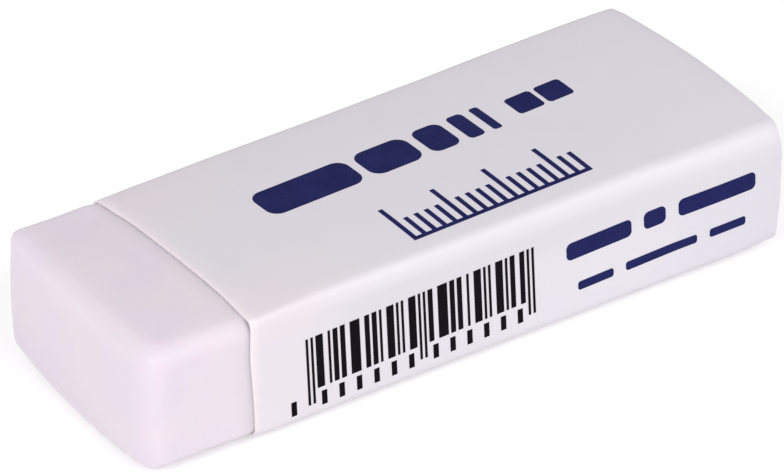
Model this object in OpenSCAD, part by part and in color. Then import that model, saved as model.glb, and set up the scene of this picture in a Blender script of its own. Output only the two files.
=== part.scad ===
// Rubber eraser: a soft vinyl block in a printed card sleeve.
// The block stands out of one end of the sleeve and slides along inside it.
// X runs along the block with its bare end at -X, -Y is the side with the bars, +Z is up.
// The origin is the middle of the sleeve's underside. Sizes are in millimetres.

/* [Block] */
// Length of the block through its middle
block_l = 59.5; // [56:0.1:80]
// Width of the block between the middles of its long sides
block_w = 22.2; // [18:0.1:32]
// Height of the block between the middles of its top and bottom
block_h = 11.35; // [9:0.05:18]
// Rounding of the long edges
edge_r = 0.85; // [0.6:0.05:2]
// Rounding of the edges around each end
end_r = 0.85; // [0.4:0.05:1.5]
// Rise of the top and of the bottom, from the long edges to the middle
face_crown = 0.4; // [0.1:0.05:1]
// Width of the flat strip along the middle of the top and of the bottom
flat_w = 5; // [2:0.5:12]
// Rise of the long sides, from their edges to the middle
side_crown = 0.06; // [0.02:0.02:0.3]
// Rise of the ends across the width
end_crown_w = 0.45; // [0.1:0.05:1]
// Rise of the ends across the height
end_crown_h = 0.25; // [0.1:0.05:0.6]
// Skew of the bare end's cut, in millimetres for each millimetre of width
end_skew = 0.065; // [0:0.005:0.1]

/* [Sleeve] */
// Length of the sleeve
sleeve_l = 50.4; // [42:0.1:54]
// Thickness of the card
card_t = 0.23; // [0.2:0.01:0.5]
// Clearance between the block and the card
fit_gap = 0.06; // [0.05:0.01:0.2]
// Inside radius of the folds at the mouth, where the card isn't pressed onto the block
crease_r = 0.65; // [0.2:0.05:0.9]
// Depth of the block's far end inside the sleeve
rear_set = 0.3; // [0:0.1:3]
// Distance of the glued seam's two cut edges from the folds beside them
seam_inset = 0.3; // [0.1:0.1:2]

/* [Top print] */
// Thickness of the ink
ink_t = 0.04; // [0.02:0.01:0.08]
// Clearance that keeps the ink out of the card
ink_lift = 0.01; // [0.005:0.005:0.02]
// Distance of the ruler scale from the mouth
scale_x = 16.6; // [4:0.1:18]
// Distance of the scale from the fold in front of it
scale_foot = 0.5; // [0.2:0.1:2]
// Number of divisions on the ruler scale
scale_n = 17; // [10:1:22]
// Length of one division
scale_step = 1; // [0.8:0.05:1.1]
// Height of the scale's long marks
scale_long = 5; // [3.2:0.1:5.4]
// Height of the scale's short marks
scale_short = 3; // [1:0.1:3.1]
// Breadth of the scale's strokes
scale_b = 0.42; // [0.2:0.01:0.6]
// Distance of the bold broken line from the mouth
line_x = 9.6; // [4:0.1:11]
// Space between the scale's long marks and the broken line
line_foot = 4.2; // [2:0.1:6]
// Length of the broken line
line_l = 22.4; // [16:0.1:24]
// Breadth of the broken line
line_b = 3.7; // [2:0.1:4.4]
// Number of pieces that the line breaks into
line_n = 5; // [3:1:6]
// Length of each piece as a share of the piece before it
line_ratio = 0.55; // [0.5:0.01:0.9]
// Gap between the pieces
line_gap = 0.8; // [0.4:0.1:1.2]
// Side of each of the two small squares
square_w = 2.5; // [1:0.1:3]
// Gap between the two small squares
square_gap = 0.4; // [0.2:0.1:1]
// Space between the broken line and the squares
square_x = 2.2; // [1:0.1:3]

/* [Side print] */
// Turn of the whole print against the folds, in degrees
print_turn = 1.9; // [0:0.1:2]
// Distance of the small marks from the lower fold
tick_foot = 0.1; // [0:0.1:0.6]
// Breadth of the small marks under the bars
tick_b = 0.5; // [0.2:0.1:1]
// Height of the small marks under the bars
tick_h = 1.3; // [0.5:0.1:1.5]
// Gap between the small marks and the bars
tick_gap = 0.4; // [0.2:0.1:0.8]
// Distance of the bars from the mouth
bars_x = 5.3; // [3:0.1:7]
// Height of the bars
bars_h = 4.9; // [3:0.1:5.4]
// How much further the guard bars reach down
guard_h = 1.3; // [0.2:0.1:1.5]
// Space between the first bar and the small mark before it
tick_lead = 1.1; // [0.4:0.1:1.5]
// Breadth of the thinnest bar
bar_w = 0.23; // [0.15:0.005:0.24]
// Number of bars
bars_n = 30; // [20:1:31]
// Space between the bars and the two rows of dashes
rows_gap = 3.1; // [1:0.1:5]
// Space between the rows of dashes and the sleeve's far end
rows_margin = 2.3; // [1:0.1:5]
// Distance of the light row from the lower fold
light_foot = 0.9; // [0.5:0.1:2]
// How much shorter the light row is at each end
light_inset = 1; // [0:0.1:2]
// Breadth of the light row
light_b = 0.8; // [0.4:0.1:1.4]
// Space between the two rows
bold_foot = 2.3; // [1:0.1:2.6]
// Breadth of the bold row
bold_b = 1.6; // [0.6:0.1:1.6]
// Gap between the dashes of a row
dash_gap = 1.2; // [0.4:0.1:1.5]

/* [Hidden] */

arc_n = 6;      // steps around a rounded corner
face_n = 14;    // steps across the top and the bottom
side_n = 4;     // steps up a long side
cap_n = 5;      // rings on each end face
mark_n = 3;     // steps around a mark's corner

// Guard bars reach down, and they and the gaps beside them are thin. The breadths of the bars and
// of the gaps after them are counts of the thinnest bar
guard_bars = [0, 1, floor(bars_n / 2) - 1, floor(bars_n / 2), bars_n - 2, bars_n - 1];
function is_guard(i) = len(search(i, guard_bars)) > 0;
bar_widths = [for (i = [0:bars_n - 1]) is_guard(i) ? 1 : 1 + (6 * i + 5 * i * i) % 11 % 4];
gap_widths = [
    for (i = [0:bars_n - 1])
    is_guard(i) || is_guard(i + 1) ? 1 : 1 + (i + 5 * i * i) % 7 % 3
];

// Half sizes of the block's section before it is crowned
half_w = block_w / 2 - side_crown;
half_h = block_h / 2 - face_crown;
// Half sizes of the space in the sleeve and of its outside, before crowning
room_w = half_w + fit_gap;
room_h = half_h + fit_gap;
out_w = room_w + card_t;
out_h = room_h + card_t;
// Fold radii where the card lies on the block, inside and outside
hug_r = edge_r + fit_gap;
fold_r = hug_r + card_t;
// Height of the block's middle above the underside
mid_z = out_h * (1 + face_crown / half_h);
// Heights on the side above the underside, and places across the top from its middle
tick_z = fold_r + tick_foot;
bars_z = tick_z + tick_h + tick_gap;
scale_y = fold_r - out_w + scale_foot;
line_y = scale_y + scale_long + line_foot;
mouth_x = -sleeve_l / 2;
rear_x = sleeve_l / 2;
// Middle of each end of the block
block_rear = rear_x - rear_set;
block_front = block_rear - block_l;

// Rise of the top or the bottom at y, whole over the flat strip and none at the edges
function face_rise(y) =
    let (run = max(0, abs(y) - flat_w / 2) / (half_w - flat_w / 2))
    face_crown * (1 - run * run);

// Rise of a long side at z
function side_rise(z) = side_crown * (1 - pow(z / half_h, 2));

// Crowns a section's point [y, z]. Every piece goes through it, so clearances hold
function crowned(p) = [
    p[0] * (1 + side_rise(p[1]) / half_w),
    p[1] * (1 + face_rise(p[0]) / half_h)
];

function corner(y, z, r, from) = [
    for (i = [0:arc_n])
    let (a = from + 90 * i / arc_n)
    [y + r * cos(a), z + r * sin(a)]
];

// The points between p and q, both left out
function between(p, q, n) = [for (i = [1:n - 1]) p + (q - p) * i / n];

// Rounded rectangle, anticlockwise from the front's lower corner. back holds the points of
// the back wall, whose upper part stands out by step where one card edge laps another
function outline(w, h, r, back, step = 0) = concat(
    corner(r - w, r - h, r, 180),
    between([r - w, -h], [w - r, -h], face_n),
    corner(w - r, r - h, r, 270),
    back,
    corner(w + step - r, h - r, r, 0),
    between([w + step - r, h], [r - w, h], face_n),
    corner(r - w, h - r, r, 90),
    between([-w, h - r], [-w, r - h], side_n)
);

function plain_back(w, h, r) = between([w, r - h], [w, h - r], side_n);

function lapped_back(w, h, r, step_z) = concat(
    between([w, r - h], [w, step_z], side_n),
    [[w, step_z], [w + card_t, step_z]],
    between([w + card_t, step_z], [w + card_t, h - r], side_n)
);

// Triangles that join each ring of n points to the next one
function skin(n, rings) = [
    for (k = [0:rings - 2], i = [0:n - 1])
    let (a = k * n + i, b = k * n + (i + 1) % n)
    each [[a, b + n, b], [a, a + n, b + n]]
];

// Block: the section at an angle round the end's rounded edge, 0 on the end and 90 on the side
function block_section(a) =
    let (inset = end_r * (1 - sin(a)))
    let (w = half_w - inset, h = half_h - inset, r = max(edge_r - inset, 0.04))
    outline(w, h, r, plain_back(w, h, r));

function end_rise(p) = end_crown_w * pow(p[0] / half_w, 2) + end_crown_h * pow(p[1] / half_h, 2);

// A ring of the block on one end: dir is -1 for the bare end and 1 for the covered end
function block_ring(dir, a, share = 1) = [
    for (p = share * block_section(a))
    let (depth = end_rise(p) + end_r * (1 - cos(a)))
    let (skew = dir < 0 ? end_skew * p[0] : 0)
    let (x = dir < 0 ? block_front + skew + depth : block_rear - depth)
    concat(x, crowned(p))
];

module rubber_block() {
    shares = [for (i = [1:cap_n]) i / cap_n];
    angles = [for (i = [1:arc_n]) 90 * i / arc_n];
    rings = concat(
        [for (s = shares) block_ring(-1, 0, s)],
        [for (a = angles) block_ring(-1, a)],
        [for (i = [arc_n - 1:-1:0]) block_ring(1, angles[i])],
        [for (i = [cap_n - 1:-1:0]) block_ring(1, 0, shares[i])]
    );
    n = len(rings[0]);
    last = len(rings) * n;
    fans = [
        for (i = [0:n - 1])
        let (j = (i + 1) % n)
        each [[last, i, j], [last + 1, last - n + j, last - n + i]]
    ];
    color([0.93, 0.89, 0.92])
        translate([0, 0, mid_z])
            polyhedron(
                points = concat([for (r = rings) each r], [[block_front, 0, 0], [block_rear, 0, 0]]),
                faces = concat(skin(n, len(rings)), fans)
            );
}

// Sleeve: one face of the card wall at x, with the fold radius that the card has there
function wall_ring(x, off, r, step_z) =
    let (w = room_w + off, h = room_h + off)
    [for (p = outline(w, h, r + off, lapped_back(w, h, r + off, step_z), card_t)) concat(x, crowned(p))];

module card_sleeve() {
    flap_end = room_h - hug_r - seam_inset;
    rings = [
        wall_ring(mouth_x, 0, crease_r, flap_end),
        wall_ring(mouth_x, card_t, crease_r, -flap_end),
        wall_ring(rear_x, card_t, hug_r, -flap_end),
        wall_ring(rear_x, 0, hug_r, flap_end),
        wall_ring(mouth_x, 0, crease_r, flap_end)
    ];
    n = len(rings[0]);
    color([0.9, 0.88, 0.92])
        translate([0, 0, mid_z])
            polyhedron(
                points = [for (k = [0:3]) each rings[k]],
                faces = [for (f = skin(n, 5)) [for (v = f) v % (4 * n)]]
            );
}

// A point of the print as it lies on the card, a little turned
function turned(u, v) =
    [u * cos(print_turn) - v * sin(print_turn), u * sin(print_turn) + v * cos(print_turn)];

// A point of ink over the card: u runs from the mouth, and v across the top from its middle
// or up the side from the underside. The lift is towards the outside on both
on_top = function(u, v, lift)
    let (p = turned(u, v))
    concat(mouth_x + p[0], crowned([p[1], out_h + lift]) + [0, mid_z]);
on_side = function(u, v, lift)
    let (p = turned(u, v))
    concat(mouth_x + p[0], crowned([-out_w - lift, p[1] - mid_z]) + [0, mid_z]);

// Rows across a mark, each [v, inset of the mark's two ends], with corners of radius r
function mark_rows(v0, v1, r) =
    let (turn = [for (i = [0:mark_n]) [r * (1 - cos(90 * i / mark_n)), r * (1 - sin(90 * i / mark_n))]])
    r == 0
        ? [for (i = [0:mark_n]) [v0 + (v1 - v0) * i / mark_n, 0]]
        : concat(
            [for (p = turn) [v0 + p[0], p[1]]],
            [for (i = [mark_n:-1:0]) [v1 - turn[i][0], turn[i][1]]]
        );

// One printed mark that lies on the card, from u0 to u1 and from v0 to v1
module mark(spot, u0, u1, v0, v1, r = 0) {
    rows = mark_rows(v0, v1, r);
    last = 4 * (len(rows) - 1);
    points = [
        for (row = rows)
        let (a = u0 + row[1], b = u1 - row[1], v = row[0], top = ink_lift + ink_t)
        each [spot(a, v, ink_lift), spot(a, v, top), spot(b, v, top), spot(b, v, ink_lift)]
    ];
    polyhedron(
        points = points,
        faces = concat(skin(4, len(rows)), [[0, 1, 2, 3], [last + 3, last + 2, last + 1, last]])
    );
}

// Sum of a list's first n values
function total(list, n) = n == 0 ? 0 : list[n - 1] + total(list, n - 1);

// A bold line that breaks into ever shorter pieces, as if rubbed out
module broken_line() {
    shares = [for (i = [0:line_n - 1]) pow(line_ratio, i)];
    first_l = (line_l - (line_n - 1) * line_gap) / total(shares, line_n);
    for (i = [0:line_n - 1]) {
        start = line_x + first_l * total(shares, i) + i * line_gap;
        size = first_l * shares[i];
        mark(on_top, start, start + size, line_y, line_y + line_b, 0.3 * min(size, line_b));
    }
}

module ruler_scale() {
    marks_y = scale_y + scale_b + ink_lift;
    for (i = [0:scale_n]) {
        x = scale_x + i * scale_step;
        mark(on_top, x, x + scale_b, marks_y, scale_y + (i % 5 == 0 ? scale_long : scale_short));
    }
    mark(on_top, scale_x, scale_x + scale_n * scale_step + scale_b, scale_y, scale_y + scale_b);
}

module two_squares() {
    y = line_y + (line_b - square_w) / 2;
    for (i = [0:1]) {
        x = line_x + line_l + square_x + i * (square_w + square_gap);
        mark(on_top, x, x + square_w, y, y + square_w, 0.15 * square_w);
    }
}

module top_print() {
    color([0.16, 0.18, 0.36]) {
        broken_line();
        ruler_scale();
        two_squares();
    }
}

// A row of dashes that share out the room between the bars and the sleeve's far end
module dash_row(shares, z, b, inset = 0) {
    n = len(shares);
    start_x = bar_start(bars_n - 1) + bar_w * bar_widths[bars_n - 1] + rows_gap + inset;
    unit = (sleeve_l - rows_margin - inset - start_x - (n - 1) * dash_gap) / total(shares, n);
    for (i = [0:n - 1]) {
        start = start_x + unit * total(shares, i) + i * dash_gap;
        mark(on_side, start, start + unit * shares[i], z, z + b, 0.3 * b);
    }
}

module side_print() {
    light_z = fold_r + light_foot;
    color([0.16, 0.18, 0.36]) {
        dash_row([1, 2, 1], light_z, light_b, light_inset);
        dash_row([6, 2, 7], light_z + light_b + bold_foot, bold_b);
    }
}

// Distance from the mouth at which a bar starts
function bar_start(i) = bars_x + bar_w * (total(bar_widths, i) + total(gap_widths, i));

// Six small marks under one half of the bars, between the guard bars i and j
module mark_group(i, j) {
    start = bar_start(i) + bar_w * bar_widths[i];
    step = (bar_start(j) - start) / 6;
    for (k = [0:5]) {
        middle = start + (k + 0.5) * step;
        mark(on_side, middle - tick_b / 2, middle + tick_b / 2, tick_z, tick_z + tick_h);
    }
}

module bar_print() {
    color([0.1, 0.08, 0.1]) {
        for (i = [0:bars_n - 1]) {
            drop = is_guard(i) ? guard_h : 0;
            start = bar_start(i);
            mark(on_side, start, start + bar_w * bar_widths[i], bars_z - drop, bars_z + bars_h);
        }
        mark(on_side, bars_x - tick_lead - tick_b, bars_x - tick_lead, tick_z, tick_z + tick_h);
        mark_group(guard_bars[1], guard_bars[2]);
        mark_group(guard_bars[3], guard_bars[4]);
    }
}

rubber_block();
card_sleeve();
top_print();
side_print();
bar_print();
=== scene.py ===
# %% [markdown]
# # A rubber eraser in its card sleeve
# The real thing is two pieces: a soft vinyl block, and a sheet of thin card that is printed flat,
# folded round the block and glued on its back. Each is made here the way a hand would make it:
# the block is cut, rounded and swelled, the card is folded, and the ink is laid on the card last.

# %% Frame
import math
from contextlib import contextmanager

import bpy
from mathutils import Matrix, Vector


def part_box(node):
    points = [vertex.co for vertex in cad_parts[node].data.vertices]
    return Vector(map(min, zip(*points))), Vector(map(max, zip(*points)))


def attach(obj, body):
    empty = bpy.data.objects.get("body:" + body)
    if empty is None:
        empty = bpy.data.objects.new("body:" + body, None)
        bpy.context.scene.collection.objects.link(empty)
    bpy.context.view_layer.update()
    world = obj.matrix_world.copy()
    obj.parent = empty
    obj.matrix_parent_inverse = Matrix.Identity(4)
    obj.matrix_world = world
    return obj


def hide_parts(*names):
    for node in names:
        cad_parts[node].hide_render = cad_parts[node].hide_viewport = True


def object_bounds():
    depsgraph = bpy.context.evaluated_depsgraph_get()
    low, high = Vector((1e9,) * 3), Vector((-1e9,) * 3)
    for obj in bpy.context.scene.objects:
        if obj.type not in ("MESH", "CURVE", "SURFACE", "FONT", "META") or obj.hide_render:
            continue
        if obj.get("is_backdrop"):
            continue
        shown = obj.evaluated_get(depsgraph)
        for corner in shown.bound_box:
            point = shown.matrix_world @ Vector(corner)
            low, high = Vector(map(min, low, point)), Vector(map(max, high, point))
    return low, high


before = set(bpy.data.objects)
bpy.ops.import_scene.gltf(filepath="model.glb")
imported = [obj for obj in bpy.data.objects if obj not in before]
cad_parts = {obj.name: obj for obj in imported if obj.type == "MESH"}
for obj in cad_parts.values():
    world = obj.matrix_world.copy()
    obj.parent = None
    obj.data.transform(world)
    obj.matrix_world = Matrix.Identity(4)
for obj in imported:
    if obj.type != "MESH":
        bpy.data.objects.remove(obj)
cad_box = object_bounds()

# %% [markdown]
# ## Sizes
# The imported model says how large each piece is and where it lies, so its boxes are the ruler for
# all that follows. Only what a box can't say is written here: how far the faces swell, how thick
# the card is, and how wide a strip beside each edge is kept free for rounding it.

# %% Sizes
mm = 0.001
near = mm / 100
block_low, block_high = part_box("rubber_block")
sleeve_low, sleeve_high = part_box("card_sleeve")
card_t = 0.23 * mm
fit_gap = 0.06 * mm
glue_gap = 0.01 * mm
face_crown = 0.4 * mm
side_crown = 0.06 * mm
flat_w = 5 * mm
margin = 2 * mm

half_w = (block_high.y - block_low.y) / 2 - side_crown
half_h = (block_high.z - block_low.z) / 2 - face_crown
mid_z = (block_high.z + block_low.z) / 2
room_w = half_w + fit_gap
room_h = half_h + fit_gap
mouth_x, rear_x = sleeve_low.x, sleeve_high.x
bare_x, covered_x = block_low.x, block_high.x
print("block:", [round(s / mm, 2) for s in block_high - block_low], "mm")
print("sleeve:", [round(s / mm, 2) for s in sleeve_high - sleeve_low], "mm")

# %% [markdown]
# ## Hands
# Modelling by operators is always the same few moves: pick some points, open edit mode, push, cut
# or bevel, and close it again. These helpers are those moves. An operator works on all that is
# selected, so picking starts with nothing selected.

# %% Picking
@contextmanager
def editing(piece, kind="VERT", test=None):
    """Opens edit mode with what passes the test selected, or everything if there is no test.
    VERT gets a point, EDGE its two points, FACE its middle and its normal."""
    bpy.ops.object.select_all(action="DESELECT")
    piece.select_set(True)
    bpy.context.view_layer.objects.active = piece
    mesh = piece.data
    for part in (mesh.vertices, mesh.edges, mesh.polygons):
        part.foreach_set("select", [test is None] * len(part))
    if test and kind == "VERT":
        for vert in mesh.vertices:
            vert.select = test(vert.co)
    if test and kind == "EDGE":
        for edge in mesh.edges:
            edge.select = test(*[mesh.vertices[i].co for i in edge.vertices])
    if test and kind == "FACE":
        for face in mesh.polygons:
            face.select = test(face.center, face.normal)
    bpy.ops.object.mode_set(mode="EDIT")
    bpy.ops.mesh.select_mode(type=kind)
    yield
    bpy.ops.object.mode_set(mode="OBJECT")


# %% Cutting and applying
def spread(start, end, count):
    """Places from start to end, both taken in."""
    return [start + (end - start) * i / (count - 1) for i in range(count)]


def cut_rows(piece, axis, places):
    """Cuts the whole mesh across an axis at each place, so that it can bend there."""
    across = Vector([i == axis for i in range(3)])
    with editing(piece):
        for place in places:
            bpy.ops.mesh.select_all(action="SELECT")
            bpy.ops.mesh.bisect(plane_co=across * place, plane_no=across)


def apply_modifier(piece, kind, **settings):
    """Adds a modifier to the piece and applies it at once."""
    bpy.ops.object.select_all(action="DESELECT")
    piece.select_set(True)
    bpy.context.view_layer.objects.active = piece
    modifier = piece.modifiers.new(kind.title(), kind)
    for key, value in settings.items():
        setattr(modifier, key, value)
    bpy.ops.object.modifier_apply(modifier=modifier.name)


# %% [markdown]
# ## The vinyl block
# A block eraser is cut from a long soft bar, and its faces swell a little while the bar cools, so
# no face is quite flat and no edge is sharp. It could be sculpted, but a bevelled box that is then
# swelled by proportional editing stays exact where it has to fit the sleeve. The edges aren't
# equally round all along, so each radius is written as stops: a share of the sleeve's length, 0 at
# its mouth and 1 at its far end, and the radius there in millimetres.

# %% Radii of the long edges
edge_r = {
    ("front", "top"): [(-0.2, 1.5), (-0.03, 1.2), (0.75, 1.25)],
    ("back", "top"): [(-0.2, 0.8), (0.0, 1.05), (0.35, 1.05), (0.65, 0.8), (0.94, 0.8), (1.0, 1.0)],
    ("front", "bottom"): [(0.0, 0.85), (0.9, 0.9), (1.0, 1.28)],
    ("back", "bottom"): [(0.0, 0.9)],
}


def along(stops, x):
    """A value that changes smoothly along the sleeve, through its stops."""
    share = (x - mouth_x) / (rear_x - mouth_x)
    if share <= stops[0][0]:
        return stops[0][1]
    for (s0, v0), (s1, v1) in zip(stops, stops[1:]):
        if share <= s1:
            t = (share - s0) / (s1 - s0)
            return v0 + (v1 - v0) * t * t * (3 - 2 * t)
    return stops[-1][1]


def side_of(point):
    return ("front" if point.y < 0 else "back", "top" if point.z > mid_z else "bottom")


for side, stops in edge_r.items():
    print(*side, "edge:", [round(along(stops, x), 2) for x in spread(bare_x, covered_x, 5)], "mm")

# %% [markdown]
# The Bevel modifier reads how much to round each edge from an attribute. As a percentage of the
# strip beside the edge, one modifier rounds every edge by its own radius, and even by a radius that
# changes along the edge.

# %% Rounding edges
def round_edges(piece, radius_of, segments):
    """Rounds each edge by its own radius, as a share of the margin cut beside it. radius_of gets
    the edge's two points and gives metres, 0 for an edge that stays."""
    mesh = piece.data
    radii = [radius_of(*[mesh.vertices[i].co for i in edge.vertices]) for edge in mesh.edges]
    weights = mesh.attributes.new("bevel_weight_edge", "FLOAT", "EDGE")
    weights.data.foreach_set("value", [radius / margin for radius in radii])
    apply_modifier(piece, "BEVEL", limit_method="WEIGHT", offset_type="PERCENT", width_pct=100,
                   segments=segments, use_clamp_overlap=False)
    weights = piece.data.attributes.get("bevel_weight_edge")
    if weights:
        piece.data.attributes.remove(weights)


# %% [markdown]
# The block starts as a cube, cut into rows so that it can bend. Its two ends will swell outwards
# and the bare one is also cut slightly skew, so the cube is shorter than the block by as much. The
# edges round each end have a radius at the back and another at the front.

# %% Block
end_r = {"top": (0.8, 1.7), "bottom": (0.8, 0.8), "front": (1.7, 1.7), "back": (0.75, 0.75)}
end_crown_w, end_crown_h = 0.45 * mm, 0.25 * mm
end_skew = 0.065
bare_middle = bare_x + (end_skew * half_w) ** 2 / (4 * end_crown_w)
start_x = bare_middle + end_skew * half_w + end_crown_w + end_crown_h
end_x = covered_x - end_crown_w - end_crown_h

bpy.ops.object.select_all(action="DESELECT")
bpy.ops.mesh.primitive_cube_add(size=1, location=((start_x + end_x) / 2, 0, mid_z))
block = bpy.context.object
with editing(block):
    bpy.ops.transform.resize(value=(end_x - start_x, 2 * half_w, 2 * half_h))
bpy.ops.object.transform_apply(location=True)
bend_rows, mouth_rows = 31, 5
cut_rows(block, 0, spread(start_x + margin, end_x - margin, bend_rows))
cut_rows(block, 0, spread(mouth_x - 1.6 * mm, mouth_x, mouth_rows))
cut_rows(block, 1, [margin - half_w, half_w - margin])
cut_rows(block, 2, [mid_z + margin - half_h, mid_z + half_h - margin])
print("block:", len(block.data.vertices), "points before it is rounded")

# %% Rounding the block
def block_radius(a, b):
    middle = (a + b) / 2
    on_end = min(abs(middle.x - start_x), abs(middle.x - end_x)) < near
    on_side = abs(abs(middle.y) - half_w) < near
    on_face = abs(abs(middle.z - mid_z) - half_h) < near
    if on_side and on_face and not on_end:
        return along(edge_r[side_of(middle)], middle.x) * mm
    if on_end and on_side != on_face:
        at_back, at_front = end_r[side_of(middle)[0 if on_side else 1]]
        return (at_back + (at_front - at_back) * (0.5 - middle.y / (2 * half_w))) * mm
    return 0


round_edges(block, block_radius, segments=8)
side_w, side_h = half_w - margin, half_h - margin
cut_rows(block, 1, spread(-side_w, side_w, 19)[1:-1] + [-flat_w / 2, flat_w / 2])
cut_rows(block, 2, [mid_z + z for z in spread(-side_h, side_h, 9)[1:-1]])
print("block:", len(block.data.vertices), "points before it swells")

# %% [markdown]
# Proportional editing does the swelling. A strip is pushed out, and its surroundings follow along
# a parabola, which is what the faces of the real block look like from the end.

# %% Swelling the block
def swell(piece, test, push, reach, falloff="INVERSE_SQUARE"):
    """Pushes the picked points, and what lies within reach follows, along a parabola unless told
    otherwise."""
    with editing(piece, "VERT", test):
        bpy.ops.transform.translate(value=push, use_proportional_edit=True,
                                    proportional_edit_falloff=falloff, proportional_size=reach)


for way, end in ((-1, start_x), (1, end_x)):
    swell(block, lambda p: (p.x - end) * way > -near and abs(p.y) < near,
          (way * end_crown_w, 0, 0), half_w)
    swell(block, lambda p: (p.x - end) * way > -near and abs(p.z - mid_z) < near,
          (way * end_crown_h, 0, 0), half_h)
swell(block, lambda p: p.y < near - half_w and p.x < start_x + margin + near,
      (-2 * end_skew * half_w, 0, 0), 2 * half_w, "LINEAR")
for way in (-1, 1):
    swell(block, lambda p: (p.z - mid_z) * way > half_h - near and abs(p.y) < flat_w / 2 + near,
          (0, 0, way * face_crown), half_w - flat_w / 2)
    swell(block, lambda p: p.y * way > half_w - near and abs(p.z - mid_z) < near,
          (0, way * side_crown, 0), half_h)
print("block swelled to", [round(side / mm, 2) for side in block.dimensions], "mm")

# %% [markdown]
# ## Squeezed by the card
# Card and block have lived together for a while and share their dents. The back top edge is pressed
# down a little at the mouth and stands full at the far end, where the front top edge has also been
# pushed out. The same pushes are used on both pieces, so that they still fit. Only the block has
# the bulge where the mouth's edge ends its grip, and it rises most at the back top corner.

# %% Pushing spots and rings
def push_spot(piece, spot, push, reach, width=1.5, falloff="INVERSE_SQUARE"):
    """Pushes what lies within width of a spot. Push, reach and width are in millimetres."""
    middle = Vector(spot)
    swell(piece, lambda p: (p - middle).length < width * mm, Vector(push) * mm, reach * mm, falloff)


def push_ring(piece, test, w, h, out, reach):
    """Pushes all four sides of a section w by h (half sizes) outwards, where the test holds."""
    skin = 0.3 * mm
    for way in (-1, 1):
        swell(piece, lambda p: test(p) and p.y * way > w - skin, (0, way * out, 0), reach)
        swell(piece, lambda p: test(p) and (p.z - mid_z) * way > h - skin, (0, 0, way * out), reach)


def give_way(piece):
    """The dents and pushes that card and block share."""
    high = mid_z + half_h
    push_spot(piece, (mouth_x, half_w, high), (0, -0.03, -0.08), 10)
    push_spot(piece, (rear_x - 4 * mm, half_w, high), (0, 0.03, 0.22), 14)
    push_spot(piece, (rear_x, -half_w, high), (0.09, -0.4, 0), 11)


# %% The bulge at the mouth
give_way(block)
bare_lift, bare_reach = 0.06 * mm, 4.5 * mm
bulge, bulge_reach = 0.05 * mm, 1.3 * mm
swell(block, lambda p: p.x < mouth_x - bare_reach, (0, 0, bare_lift), bare_reach)
push_ring(block, lambda p: p.x < mouth_x - bulge_reach, half_w, half_h, bulge, bulge_reach)
swell(block, lambda p: (p.x < mouth_x - mm and p.z > mid_z + half_h - 0.5 * mm
                        and p.y > half_w - 0.8 * mm), (0, 0.04 * mm, 0.1 * mm), 1.1 * mm)
push_spot(block, (mouth_x - 0.5 * mm, half_w, mid_z + half_h), (0, 0.04, 0.11), 2.2, 0.8, "SMOOTH")
print("block squeezed to", [round(side / mm, 2) for side in block.dimensions], "mm")

# %% [markdown]
# Nothing cut from a soft bar is perfectly even. A Displace modifier with a slow cloud texture moves
# the skin by a few hundredths of a millimetre, which only shows as life in the shine. A finished
# piece then gets its place put into its mesh, its doubles merged and its faces turned outwards.

# %% Finishing a piece
def measure(piece):
    size = [round(side / mm, 2) for side in piece.dimensions]
    print(f"{piece.name}: {len(piece.data.polygons)} faces, {size} mm")


def set_in_place(piece, name):
    """Puts the piece's place into its mesh and turns its faces outwards."""
    piece.name = piece.data.name = name
    with editing(piece):
        bpy.ops.mesh.remove_doubles(threshold=0.0005 * mm)
        bpy.ops.mesh.normals_make_consistent(inside=False)
    bpy.ops.object.transform_apply(location=True, rotation=True, scale=True)
    bpy.ops.object.shade_smooth_by_angle(angle=math.radians(30))


# %% Unevenness of the block
uneven = bpy.data.textures.new("slow waves", "CLOUDS")
uneven.noise_scale = 7 * mm
apply_modifier(block, "DISPLACE", texture=uneven, strength=0.05 * mm, mid_level=0.5)
set_in_place(block, "vinyl_block")
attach(block, "block")
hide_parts("rubber_block")
measure(block)

# %% [markdown]
# ## The card sleeve
# The sleeve is one sheet of card. It starts as a flap against the block's back, goes under the
# block, up its front, over its top and down its back again, where it is glued over the flap. A
# tube cut from a solid would have no seam, so the sheet is laid row by row instead, folded at its
# four creases, and thickened at the end. The creases are tight at the mouth, where a finger has
# pressed them, and open out towards the far end.

# %% Radii of the creases
crease_r = {
    ("front", "top"): [(0.0, 0.5), (0.2, 1.1), (0.45, 1.2), (0.75, 1.5), (1.0, 1.95)],
    ("back", "top"): [(0.0, 1.1), (0.35, 1.1), (0.65, 0.85), (0.94, 0.85), (1.0, 1.0)],
    ("front", "bottom"): [(0.0, 0.65), (0.5, 0.85), (0.9, 0.9), (1.0, 1.28)],
    ("back", "bottom"): [(0.0, 0.8)],
}
lap_w = room_w + card_t + glue_gap
flap_end, lap_end = room_h - 2.6 * mm, room_h - 1.2 * mm
for side, stops in crease_r.items():
    print(*side, "crease:", [round(along(stops, x), 2) for x in spread(mouth_x, rear_x, 5)], "mm")

# %% [markdown]
# A path says where the sheet's rows lie, as (y, z) from its start under the block. Each crease has
# a row beside it on both sides, and the fold takes its share of the distance to them. At the front
# top crease the two distances differ, so the card turns quickly at the top and slowly down the
# side.

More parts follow.
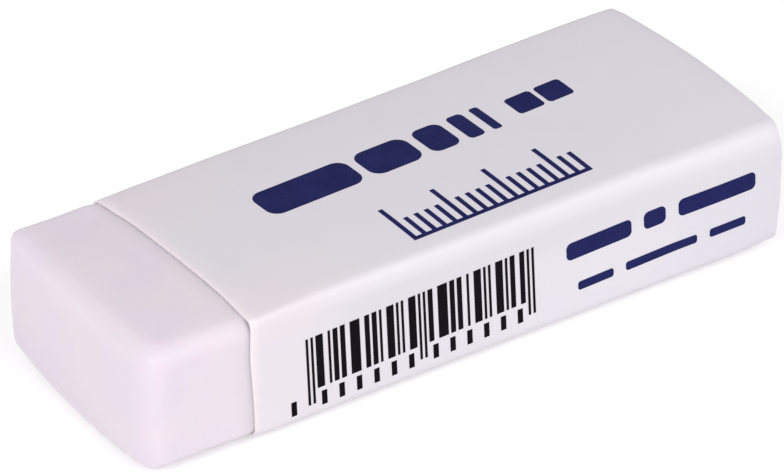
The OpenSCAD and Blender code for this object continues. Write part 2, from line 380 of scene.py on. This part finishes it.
# %% The sheet's path
bottom, top = mid_z - room_h, mid_z + room_h
strip = flat_w / 2
fold_above, fold_beside = 0.7 * margin, 1.4 * margin
across_half = spread(strip, room_w - margin, 11)
up_side = spread(margin - room_h, room_h - margin, 9)
front_path = [(-y, bottom) for y in across_half[1:]] + [(-room_w, bottom)]
front_path += [(-room_w, mid_z + z) for z in spread(margin - room_h, room_h - fold_beside, 9)]
front_path += [(-room_w, top)] + [(-y, top) for y in spread(room_w - fold_above, strip, 11)]
front_path += [(0, top)] + [(y, top) for y in spread(strip, lap_w - margin, 7)] + [(lap_w, top)]
front_path += [(lap_w, mid_z - z) for z in up_side] + [(lap_w, mid_z - lap_end)]
back_path = [(y, bottom) for y in across_half[1:]] + [(room_w, bottom)]
back_path += [(room_w, mid_z + z) for z in up_side if z < flap_end] + [(room_w, mid_z + flap_end)]
print("rows:", len(front_path), "up the front and over,", len(back_path), "up the back")

# %% Laying the sheet
def lay_rows(piece, start_y, path):
    """Extrudes the row of points at start_y through each (y, z) of the path."""
    with editing(piece, "VERT", lambda p: abs(p.y - start_y) < near):
        here = (start_y, bottom)
        for there in path:
            step = (0, there[0] - here[0], there[1] - here[1])
            bpy.ops.mesh.extrude_edges_move(TRANSFORM_OT_translate={"value": step})
            here = there


sheet_columns = 48
bpy.ops.object.select_all(action="DESELECT")
bpy.ops.mesh.primitive_grid_add(x_subdivisions=sheet_columns, y_subdivisions=2, size=1,
                                location=((mouth_x + rear_x) / 2, 0, bottom))
sleeve = bpy.context.object
with editing(sleeve):
    bpy.ops.transform.resize(value=(rear_x - mouth_x, flat_w, 1))
bpy.ops.object.transform_apply(location=True)
cut_rows(sleeve, 0, [mouth_x + share * mm for share in (0.25, 0.5, 0.75)])
lay_rows(sleeve, strip, back_path)
lay_rows(sleeve, -strip, front_path)
print("sheet:", len(sleeve.data.vertices), "points")

# %% [markdown]
# Only the edges that run along a crease are rounded. The sheet is then swelled just as the block
# was, and takes the pushes that it shares with the block.

# %% Folding the creases
def fold_radius(a, b):
    middle = (a + b) / 2
    if abs(a.x - b.x) < near:
        return 0
    at_height = abs(abs(middle.z - mid_z) - room_h) < near
    back_w = lap_w if middle.z > mid_z else room_w
    at_side = abs(middle.y + room_w) < near or abs(middle.y - back_w) < near
    return along(crease_r[side_of(middle)], middle.x) * mm if at_height and at_side else 0


round_edges(sleeve, fold_radius, segments=10)
for way in (-1, 1):
    swell(sleeve, lambda p: (p.z - mid_z) * way > room_h - near and abs(p.y) < strip + near,
          (0, 0, way * face_crown * room_h / half_h), half_w - flat_w / 2)
swell(sleeve, lambda p: p.y < -room_w + near and abs(p.z - mid_z) < near, (0, -side_crown, 0), half_h)
swell(sleeve, lambda p: p.y > room_w - near and abs(p.z - mid_z) < near, (0, side_crown, 0), half_h)
give_way(sleeve)
print("sleeve folded to", [round(side / mm, 2) for side in sleeve.dimensions], "mm")

# %% [markdown]
# Card is never cut and folded quite true. The mouth grips the block, its edge runs back a little in
# the middle of the top and at the foot of the front, and the far end stands open, with its back top
# corner fallen back and its front corners a little out of line.

# %% The mouth of the sleeve
grip, grip_reach = fit_gap + 0.03 * mm, 1.1 * mm
corner_free = 2 * mm
edge_back, edge_back_w = 0.23 * mm, 6.5 * mm
at_mouth = mouth_x + near
push_ring(sleeve, lambda p: p.x < at_mouth and p.y + p.z < lap_w + top - corner_free,
          room_w, room_h, -grip, grip_reach)
swell(sleeve, lambda p: p.x < at_mouth and p.z > top and abs(p.y) < edge_back_w,
      (edge_back, 0, 0), 4 * mm, "SMOOTH")
for y, z, push, reach in (
        (room_w, top, (0, -0.04, -0.04), 2.2),
        (-room_w, top, (0.08, -0.06, -0.05), 3),
        (-room_w, bottom, (0.33, 0, 0), 8)):
    push_spot(sleeve, (mouth_x, y, z), push, reach, falloff="SMOOTH")
print("sleeve gripped to", [round(side / mm, 2) for side in sleeve.dimensions], "mm")

# %% The far end of the sleeve
for y, z, push, reach in (
        (room_w, top, (-0.5, 0, 0), 11),
        (-room_w, mid_z, (-0.06, 0, 0), 4),
        (-2 * mm, top, (0, 0, 0.15), 9),
        (0.3 * mm - room_w, top, (-0.03, 0.05, -0.06), 1.1),
        (-room_w, top - 1.5 * mm, (0.05, 0, 0), 1.6),
        (-room_w, bottom, (-0.2, 0.05, 0.05), 3)):
    push_spot(sleeve, (rear_x, y, z), push, reach, falloff="SMOOTH")
for start in (9, 15):
    swell(sleeve, lambda p: p.x > mouth_x + start * mm and p.y < mm - room_w and p.z > top - mm,
          (0, -0.035 * mm, 0.01 * mm), 2.2 * mm, "SMOOTH")
push_spot(sleeve, (rear_x, lap_w, top), (-0.24, 0, 0), 1.7, 0.75, "SMOOTH")
print("sleeve opened to", [round(side / mm, 2) for side in sleeve.dimensions], "mm")

# %% [markdown]
# The folded sheet has no thickness yet. Solidify grows the wall outwards, so the inner face keeps
# its clearance, and it gives the inner wall and the cut edges their own materials: the board is
# coated outside, grey-white inside, and shows its fibres where the knife went through.

# %% Thickness and cut edges
with editing(sleeve):
    bpy.ops.mesh.normals_make_consistent(inside=False)
top_normal = max(sleeve.data.polygons, key=lambda face: face.center.z).normal.z
print("the sheet's top looks", "up" if top_normal > 0 else "down")
for part in ("outside", "inside", "cut edge"):
    sleeve.data.materials.append(None)
apply_modifier(sleeve, "SOLIDIFY", thickness=card_t, offset=1, use_even_offset=True,
               material_offset=1, material_offset_rim=2)
with editing(sleeve, "FACE", lambda middle, normal: abs(normal.x) > 0.99):
    bpy.ops.mesh.region_to_loop()
    bpy.ops.mesh.bevel(offset=0.08 * mm, segments=3, affect="EDGES", clamp_overlap=True)
set_in_place(sleeve, "printed_sleeve")
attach(sleeve, "sleeve")
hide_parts("card_sleeve")
measure(sleeve)

# %% [markdown]
# ## The print
# Ink is a film on the card. It could be painted by a material, but thin plates keep the edges of
# the print crisp at any distance. Each mark is drawn flat, and a mark that repeats is drawn once
# and copied.

# %% Drawing marks
def draw_mark(u0, u1, v0, v1, r=0):
    """A flat mark with its corners rounded. u runs from the mouth, v across the top from its middle
    or up the side from the underside."""
    bpy.ops.object.select_all(action="DESELECT")
    bpy.ops.mesh.primitive_plane_add(size=1, location=((u0 + u1) / 2, (v0 + v1) / 2, 0))
    mark = bpy.context.object
    with editing(mark):
        bpy.ops.transform.resize(value=(u1 - u0, v1 - v0, 1))
        if r:
            bpy.ops.mesh.bevel(offset=r, segments=10, affect="VERTICES")
    bpy.ops.object.transform_apply(location=True)
    return mark


def copy_mark(mark, shift, stretch=(1, 1, 1)):
    """A copy with a mesh of its own, stretched about the mark's lower left corner."""
    bpy.ops.object.select_all(action="DESELECT")
    mark.select_set(True)
    bpy.context.view_layer.objects.active = mark
    bpy.ops.object.duplicate(linked=False)
    twin = bpy.context.object
    low = Vector([min(v.co[i] for v in twin.data.vertices) for i in range(3)])
    with editing(twin):
        bpy.ops.transform.resize(value=stretch, center_override=low)
        bpy.ops.transform.translate(value=shift)
    return twin


# %% [markdown]
# A printing plate is never laid quite straight, so the whole print is turned a little. The marks of
# one field are joined, cut finely enough to bend with the card, shrink-wrapped onto it from above
# or from the front, and given the thickness of a film.

# %% Laying ink
ink_t, ink_lift = 0.014 * mm, 0.006 * mm
ink_bend = 0.7 * mm
print_turn = math.radians(1.9)


def lay_ink(marks, name, node, on_side=False):
    """Joins flat marks, turns them to their panel and wraps them onto the card."""
    bpy.ops.object.select_all(action="DESELECT")
    for mark in marks:
        mark.select_set(True)
    bpy.context.view_layer.objects.active = marks[0]
    bpy.ops.object.join()
    ink = bpy.context.object
    low = [min(v.co[i] for v in ink.data.vertices) for i in range(2)]
    high = [max(v.co[i] for v in ink.data.vertices) for i in range(2)]
    for axis in (0, 1):
        count = max(3, round((high[axis] - low[axis]) / ink_bend))
        cut_rows(ink, axis, spread(low[axis], high[axis], count)[1:-1])
    if on_side:
        panel = Matrix.Translation((mouth_x, sleeve_low.y - mm, 0)) @ Matrix.Rotation(math.pi / 2, 4, "X")
    else:
        panel = Matrix.Translation((mouth_x, 0, sleeve_high.z + mm))
    ink.data.transform(panel @ Matrix.Rotation(print_turn, 4, "Z"))
    apply_modifier(ink, "SHRINKWRAP", target=sleeve, wrap_method="PROJECT", wrap_mode="ABOVE_SURFACE",
                   offset=ink_lift, use_project_z=not on_side, use_project_y=on_side,
                   use_negative_direction=not on_side, use_positive_direction=on_side)
    apply_modifier(ink, "SOLIDIFY", thickness=ink_t, offset=1)
    set_in_place(ink, name)
    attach(ink, "sleeve")
    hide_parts(node)
    measure(ink)
    return ink


# %% [markdown]
# On top stand a bold line that breaks up from piece to piece, as if it were being rubbed out, and
# two small squares. Each piece of the line is a fixed share of the one before it.

# %% Broken line and squares
fold_r = 1.14 * mm
scale_v = fold_r + 0.5 * mm - room_w - card_t
scale_long, scale_short = 5 * mm, 3 * mm
line_foot, line_u, line_b = 4.2 * mm, 9.6 * mm, 3.7 * mm
line_v = scale_v + scale_long + line_foot
line_l, line_gap, line_ratio, line_n = 22.4 * mm, 0.8 * mm, 0.55, 5
shares = [line_ratio**i for i in range(line_n)]
first_l = (line_l - (line_n - 1) * line_gap) / sum(shares)
marks, u = [], line_u
for share in shares:
    length = first_l * share
    marks.append(draw_mark(u, u + length, line_v, line_v + line_b, 0.3 * min(length, line_b)))
    u += length + line_gap
square, square_gap = 2.5 * mm, 0.4 * mm
square_u, square_v = line_u + line_l + 2.2 * mm, line_v + (line_b - square) / 2
first = draw_mark(square_u, square_u + square, square_v, square_v + square, 0.15 * square)
marks += [first, copy_mark(first, (square + square_gap, 0, 0))]
bold = lay_ink(marks, "broken_line", "top_print")

# %% [markdown]
# Beside the line lies a small ruler: a base line with a short stroke at every millimetre and a long
# one at every fifth.

# %% Ruler scale
stroke, scale_u, scale_n, scale_step = 0.42 * mm, 16.6 * mm, 17, mm
base = draw_mark(scale_u, scale_u + scale_n * scale_step + stroke, scale_v, scale_v + stroke)
first = draw_mark(scale_u, scale_u + stroke, scale_v + stroke, scale_v + scale_short)
stretch = (scale_long - stroke) / (scale_short - stroke)
marks = [base]
for i in range(scale_n + 1):
    marks.append(copy_mark(first, (i * scale_step, 0, 0), (1, 1 if i % 5 else stretch, 1)))
bpy.data.objects.remove(first)
ruler = lay_ink(marks, "ruler_scale", "top_print")

# %% [markdown]
# The bars on the side stand for no code. Their widths and gaps come from a sum that never quite
# repeats, and two bars at each end and in the middle hang lower. Small blocks stand under them, six
# to each half, and one leads.

# %% Bars and the small marks under them
bar_w, bars_n, bars_u, guard_h = 0.23 * mm, 30, 5.3 * mm, 1.3 * mm
tick_w, tick_low, tick_h, tick_lead = 0.5 * mm, fold_r + 0.1 * mm, 1.3 * mm, 1.1 * mm
bars_low = tick_low + tick_h + 0.4 * mm
bars_high = bars_low + 4.9 * mm
guards = (0, 1, 14, 15, 28, 29)
widths = [1 if i in guards else 1 + (6 * i + 5 * i * i) % 11 % 4 for i in range(bars_n)]
gaps = [1 if i in guards or i + 1 in guards else 1 + (i + 5 * i * i) % 7 % 3 for i in range(bars_n)]
starts = [bars_u + bar_w * (sum(widths[:i]) + sum(gaps[:i])) for i in range(bars_n)]
first = draw_mark(bars_u, bars_u + bar_w, bars_low, bars_high)
marks = []
for i, (start, width) in enumerate(zip(starts, widths)):
    drop = guard_h if i in guards else 0
    stretch = (width, 1 + drop / (bars_high - bars_low), 1)
    marks.append(copy_mark(first, (start - bars_u, -drop, 0), stretch))
tick = draw_mark(bars_u - tick_lead - tick_w, bars_u - tick_lead, tick_low, tick_low + tick_h)
marks.append(tick)
ticks_half = 6
for i, j in ((1, 14), (15, 28)):
    start = starts[i] + bar_w * widths[i]
    step = (starts[j] - start) / ticks_half
    for k in range(ticks_half):
        shift = start + (k + 0.5) * step + tick_w / 2 + tick_lead - bars_u
        marks.append(copy_mark(tick, (shift, 0, 0)))
bpy.data.objects.remove(first)
bars = lay_ink(marks, "code_bars", "bar_print", on_side=True)

# %% [markdown]
# Two rows of dashes fill the rest of the side, a light one below and a bold one above it. The
# dashes of a row share its length between them.

# %% Rows of dashes
rows_start = starts[-1] + bar_w + 3.1 * mm
rows_end = rear_x - mouth_x - 2.3 * mm
dash_gap, light_inset, light_b, bold_b = 1.2 * mm, mm, 0.8 * mm, 1.6 * mm
light_low = fold_r + 0.9 * mm
bold_low = light_low + light_b + 2.3 * mm
marks = []
for shares, low, high, inset in (((1, 2, 1), light_low, light_low + light_b, light_inset),
                                 ((6, 2, 7), bold_low, bold_low + bold_b, 0)):
    u = rows_start + inset
    unit = (rows_end - inset - u - dash_gap * (len(shares) - 1)) / sum(shares)
    for share in shares:
        marks.append(draw_mark(u, u + unit * share, low, high, 0.3 * (high - low)))
        u += unit * share + dash_gap
dashes = lay_ink(marks, "dash_rows", "side_print", on_side=True)

# %% [markdown]
# ## Writing finishes as sums
# A node material soon turns into a knot of boxes. One small class holds a socket and lets Python's
# operators add the Math nodes, so a finish reads like the sum it is. Numbers alone are worked out
# in Python, and colours go through Mix nodes, because a Math node would turn them grey.

# %% Values that flow
class Flow:
    """A socket in a finish: sums, differences and products of it add Math nodes."""

    def __init__(self, finish, socket):
        self.finish, self.socket = finish, socket

    def math(self, operation, *values):
        return self.finish.node("Math", {"operation": operation}, dict(enumerate(values)))

    def __add__(self, other):
        return self.math("ADD", self, other)

    def __sub__(self, other):
        return self.math("SUBTRACT", self, other)

    def __rsub__(self, other):
        return self.math("SUBTRACT", other, self)

    def __mul__(self, other):
        return self.math("MULTIPLY", self, other)

    __radd__, __rmul__ = __add__, __mul__


# %% [markdown]
# A finish is the nodes round one shader. They all come from its method node, and its other methods
# name what a finish is made of: a place on the piece, noise, a band between two values, a mix of
# two colours, and relief.

# %% Finishes
class Finish:
    """The nodes of a material or of the world, round its one shader."""

    def __init__(self, owner, shader, **constants):
        owner.use_nodes = True
        self.owner, self.tree = owner, owner.node_tree
        self.shader = self.tree.nodes[shader]
        for key, value in constants.items():
            self.feed(self.shader.inputs[key.replace("_", " ").title().replace("Ior", "IOR")], value)

    def node(self, kind, settings=(), inputs=(), output=0):
        """Adds a node: its settings first, then the values or links of its sockets."""
        node = self.tree.nodes.new("ShaderNode" + kind)
        for key, value in dict(settings).items():
            setattr(node, key, value)
        for key, value in dict(inputs).items():
            self.feed(node.inputs[key], value)
        return Flow(self, node.outputs[output])

    def feed(self, socket, value):
        if isinstance(value, Flow):
            self.tree.links.new(value.socket, socket)
        else:
            socket.default_value = value

    def coordinate(self, axis):
        """X, Y or Z of the point on the piece, in metres."""
        point = self.node("TexCoord", output="Object")
        return self.node("SeparateXYZ", inputs={"Vector": point}, output=axis)

    def noise(self, size, detail=3, rough=0.5, stretch=(1, 1, 1)):
        """Noise from 0 to 1 in lumps about size metres across. A stretch gives it a grain."""
        point = self.node("TexCoord", output="Object")
        place = self.node("Mapping", inputs={"Vector": point, "Scale": stretch})
        inputs = {"Vector": place, "Scale": 1 / size, "Detail": detail, "Roughness": rough}
        return self.node("TexNoise", inputs=inputs)

    def band(self, value, low, high):
        """0 below low, 1 above high, and smooth between."""
        settings = {"interpolation_type": "SMOOTHSTEP"}
        return self.node("MapRange", settings, {"Value": value, "From Min": low, "From Max": high})

    def mix(self, share, first, second):
        """A colour between two colours."""
        first, second = [c if isinstance(c, Flow) else (*c, 1) for c in (first, second)]
        return self.node("Mix", {"data_type": "RGBA"}, {0: share, 6: first, 7: second}, output=2)

    def relief(self, *layers):
        """Bump from (height from 0 to 1, depth in metres) layers, the coarse one first."""
        normal = None
        for height, depth in layers:
            inputs = {"Height": height, "Distance": depth, "Strength": 1.0}
            if normal:
                inputs["Normal"] = normal
            normal = self.node("Bump", inputs=inputs)
        self.feed(self.shader.inputs["Normal"], normal)

    def wear(self, colour, roughness):
        """Gives the shader its colour and roughness, and gives back the finished material."""
        self.feed(self.shader.inputs["Base Color"], colour)
        self.feed(self.shader.inputs["Roughness"], roughness)
        return self.owner


# %% Putting finishes on
def new_finish(name, **constants):
    return Finish(bpy.data.materials.new(name), "Principled BSDF", **constants)


def dress(piece, *materials):
    """Fills the piece's material slots. If it has as many already, its faces keep theirs."""
    if len(piece.data.materials) != len(materials):
        piece.data.materials.clear()
        for material in materials:
            piece.data.materials.append(material)
    for i, material in enumerate(materials):
        piece.data.materials[i] = material
    print(piece.name, "wears", ", ".join(material.name for material in materials))


# %% [markdown]
# ## Vinyl
# Soft vinyl lets a little light in, so its edges glow and its shade is never hard. Its skin is
# satin, with a fine grain from the cut and slow clouds where the white is warmer or cooler. Where
# the card's mouth rests, a faint wavering line is darkened as painted shade, standing in for the shade
# that the card's edge casts on the block.

# %% Vinyl finish
vinyl = new_finish("soft vinyl", subsurface_weight=0.8, subsurface_scale=1.6 * mm,
                   subsurface_radius=(1.0, 0.8, 0.9), specular_ior_level=0.28)
clouds = vinyl.noise(6 * mm, detail=2)
grain = vinyl.noise(0.35 * mm, detail=4, rough=0.6)
colour = vinyl.mix(vinyl.band(clouds, 0.35, 0.65), (0.868, 0.775, 0.88), (0.885, 0.797, 0.865))
colour = vinyl.mix(0.25 * grain, colour, (0.84, 0.76, 0.84))
waver = 0.5 * mm * vinyl.noise(0.8 * mm, detail=2)
from_mouth = vinyl.coordinate("X") - mouth_x + waver
# painted shade: a wavering band where the card's mouth rests is darkened, standing in for the shade of
# the card's edge on the block
painted_mouth_shade = (vinyl.band(from_mouth, -1.2 * mm, 0.5 * mm)
          * (1 - vinyl.band(from_mouth, 0.5 * mm, 1.4 * mm)))
colour = vinyl.mix(0.5 * painted_mouth_shade, colour, (0.80, 0.70, 0.765))
vinyl.relief((vinyl.noise(2.2 * mm, detail=2), 0.02 * mm), (grain, 0.006 * mm))
dress(block, vinyl.wear(colour, 0.5 + 0.12 * clouds))

# %% [markdown]
# ## Card
# Three finishes meet on the sleeve. Outside, a clay coat makes the board smooth and slightly
# glossy, with a faint lie of the fibres along its length. Inside it is bare and a little grey, and
# the cut edge shows the layers of fibre.

# %% Coated card
coated = new_finish("coated card", specular_ior_level=0.5, coat_roughness=0.3, coat_weight=0.12)
lie = coated.noise(0.5 * mm, detail=3, stretch=(0.3, 1, 1))
cloud = coated.noise(2.5 * mm, detail=2)
colour = coated.mix(coated.band(cloud, 0.3, 0.7), (0.835, 0.795, 0.865), (0.85, 0.805, 0.87))
colour = coated.mix(0.2 * lie, colour, (0.80, 0.765, 0.815))
print("coated card:", len(coated.tree.nodes), "nodes before it is handled")

# %% [markdown]
# Handling has changed the white of the coat: it is warmer near the mouth, low on the side and where
# the front crease was pressed. Painted shade makes a strip under that crease greyer, where the flank
# turns away from the light, and makes the low side greyer towards the far end, where less light falls.
# A painted highlight makes the mouth's edge lighter and pinker, where its lip catches the light. Each
# mark is a mask, made of bands along the sleeve and up its side, that mixes in its own shade.

# %% Handled card, with painted shade and a painted highlight
from_mouth = coated.coordinate("X") - mouth_x
to_rear = (rear_x - mouth_x) - from_mouth
height = coated.coordinate("Z")
low_on_side = 1 - coated.band(height, 7.5 * mm, 9.5 * mm)
warm = (1 - coated.band(from_mouth, 2 * mm, 14 * mm)) * low_on_side
colour = coated.mix(warm, colour, (0.86, 0.80, 0.857))
pressed = ((1 - coated.band(from_mouth, 3 * mm, 16 * mm)) * coated.band(height, 8 * mm, 9.5 * mm)
           * (1 - coated.band(height, 11.75 * mm, 12.05 * mm)))
colour = coated.mix(pressed, colour, (0.878, 0.797, 0.862))
# painted shade: a strip under the front crease is darkened, standing in for the shade where the flank
# turns away from the light
painted_crease_shade = (coated.band(from_mouth, 4 * mm, 12 * mm) * coated.band(height, 6.6 * mm, 8.4 * mm)
          * (1 - coated.band(height, 9.8 * mm, 10.6 * mm)))
colour = coated.mix(painted_crease_shade, colour, (0.80, 0.76, 0.822))
# painted shade: the low side is darkened towards the far end, standing in for the light falling off there
painted_far_end_shade = 0.9 * low_on_side * (1 - coated.band(to_rear, mm, 18 * mm))
colour = coated.mix(painted_far_end_shade, colour, (0.785, 0.755, 0.825))
waver = 0.5 * mm * coated.noise(0.8 * mm, detail=2)
# painted highlight: a wavering band along the mouth's edge is made lighter and pinker, standing in for
# the light on its lip
painted_edge_highlight = 1 - coated.band(from_mouth + waver, 0.4 * mm, 1.25 * mm)
colour = coated.mix(painted_edge_highlight, colour, (0.97, 0.88, 0.92))
coated.relief((coated.noise(4 * mm, detail=1), 0.03 * mm), (lie, 0.004 * mm))
coated_card = coated.wear(colour, 0.36 + 0.1 * lie)
print("coated card:", len(coated.tree.nodes), "nodes in all")

# %% [markdown]
# The inside and the cut edge are plain board, rougher than the coat. The edge is cut through the
# layers of fibre, so its noise is finer.

# %% Bare board and cut edge
bare = new_finish("bare board", specular_ior_level=0.3)
fibre = bare.noise(0.4 * mm, detail=4, stretch=(0.35, 1, 1))
bare.relief((fibre, 0.02 * mm))
bare_board = bare.wear(bare.mix(fibre, (0.66, 0.63, 0.62), (0.76, 0.73, 0.73)), 0.75 + 0.1 * fibre)

cut = new_finish("cut board", specular_ior_level=0.3)
layers = cut.noise(0.12 * mm, detail=3)
cut.relief((layers, 0.01 * mm))
cut_board = cut.wear(cut.mix(layers, (0.86, 0.80, 0.83), (0.95, 0.89, 0.92)), 0.7 + 0.1 * layers)
dress(sleeve, coated_card, bare_board, cut_board)

# %% [markdown]
# ## Inks
# Offset ink sinks into the coat unevenly and dries almost matt, so a solid field is a little
# mottled, thinner here and fuller there, and hardly shines.

# %% Ink finishes
def ink_finish(name, shine, thin, full):
    ink = new_finish(name, specular_ior_level=shine)
    mottle = ink.noise(0.18 * mm, detail=4, rough=0.65)
    patch = ink.noise(3 * mm, detail=2)
    colour = ink.mix(ink.band(0.6 * mottle + 0.4 * patch, 0.3, 0.62), thin, full)
    ink.relief((mottle, 0.003 * mm))
    return ink.wear(colour, 0.34 + 0.14 * mottle)


navy = ink_finish("navy ink", 0.12, (0.012, 0.015, 0.125), (0.005, 0.007, 0.085))
black = ink_finish("black ink", 0.04, (0.008, 0.003, 0.009), (0.003, 0.0015, 0.004))
for ink in (bold, ruler, dashes):
    dress(ink, navy)
dress(bars, black)

# %% [markdown]
# ## Floor and world
# The eraser lies on a white sheet in a white room. The sheet glows only for rays that come from the
# camera or off something glossy or clear, and the room is at full white only for the camera. So the
# background is white, the sheet keeps its shadow, and neither throws more light on the eraser.

# %% Floor
bpy.ops.object.select_all(action="DESELECT")
bpy.ops.mesh.primitive_plane_add(size=4, location=(0, 0, 0))
floor = bpy.context.object
floor.name = "white_sheet"
floor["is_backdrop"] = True
sheet = new_finish("white sheet", base_color=(0.9, 0.9, 0.9, 1), roughness=0.9,
                   specular_ior_level=0.0, emission_strength=0.35)
seen = sum(sheet.node("LightPath", output=f"Is {kind} Ray")
           for kind in ("Camera", "Glossy", "Transmission"))
sheet.feed(sheet.shader.inputs["Emission Color"], sheet.mix(seen, (0, 0, 0), (1, 1, 1)))
dress(floor, sheet.owner)

# %% World
world = bpy.data.worlds.new("studio")
bpy.context.scene.world = world
room_light = 0.5
studio = Finish(world, "Background", color=(1, 1, 1, 1))
seen = studio.node("LightPath", output="Is Camera Ray")
studio.feed(studio.shader.inputs["Strength"], room_light + (1 - room_light) * seen)
print("world:", room_light, "for the eraser, 1 for the camera")

# %% [markdown]
# ## Lamps
# Two broad soft lamps do the rest. They stand low at the front and on the bare end's side, so the
# side and the end are a little brighter than the top, and no shade is hard.

# %% Lamps
def softbox(name, azimuth, elevation, distance, size, power):
    """A square lamp that looks at the eraser. Azimuth 0 is the front, and it grows to the right."""
    a, e = math.radians(azimuth), math.radians(elevation)
    way = Vector((math.sin(a) * math.cos(e), -math.cos(a) * math.cos(e), math.sin(e)))
    data = bpy.data.lights.new(name, "AREA")
    data.shape, data.size, data.energy = "SQUARE", size, power
    lamp = bpy.data.objects.new(name, data)
    bpy.context.scene.collection.objects.link(lamp)
    lamp.location = way * distance + Vector((0, 0, mid_z))
    lamp.rotation_euler = way.to_track_quat("Z", "Y").to_euler()
    print(f"{name}: {power} W, {size} m wide, {distance} m away")


softbox("left softbox", -75, 30, 0.9, 0.6, 3.09)
softbox("front softbox", 25, 30, 0.9, 0.6, 3.02)

# %% [markdown]
# ## Camera
# A long lens from about a metre away keeps the long edges almost parallel. Two angles turn the
# camera round the eraser and above it, a third rolls it slightly, and the aim is shifted so that
# the eraser fills the frame.

# %% Camera
turn, tilt, roll = math.radians(-33.641), math.radians(32.284), math.radians(-0.84)
away, focal = 0.9056, 11392
frame_w, sensor_w = 784, 36
aim_right, aim_up = -3.619 * mm, -1.429 * mm
back = Vector((math.sin(turn) * math.cos(tilt), -math.cos(turn) * math.cos(tilt), math.sin(tilt)))
right = Vector((math.cos(turn), math.sin(turn), 0))
up = back.cross(right)
right, up = right * math.cos(roll) + up * math.sin(roll), up * math.cos(roll) - right * math.sin(roll)
aim = Vector((0, 0, 6 * mm)) + right * aim_right + up * aim_up
camera = bpy.data.objects.new("camera", bpy.data.cameras.new("camera"))
bpy.context.scene.collection.objects.link(camera)
turned = Matrix((right, up, back)).transposed().to_4x4()
camera.matrix_world = Matrix.Translation(aim + back * away) @ turned
camera.data.sensor_width = sensor_w
camera.data.lens = sensor_w * focal / frame_w
camera.data.clip_start, camera.data.clip_end = 0.01, 10
bpy.context.scene.camera = camera
bpy.context.scene.view_settings.view_transform = "Standard"
print("camera:", round(camera.data.lens), "mm lens,", round(away, 3), "m away")

# %% [markdown]
# ## Measuring and closing
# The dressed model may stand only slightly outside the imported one, so both boxes are written down.

# %% Sizes and finish
for box in (cad_box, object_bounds()):
    print([[round(side / mm, 2) for side in corner] for corner in box])
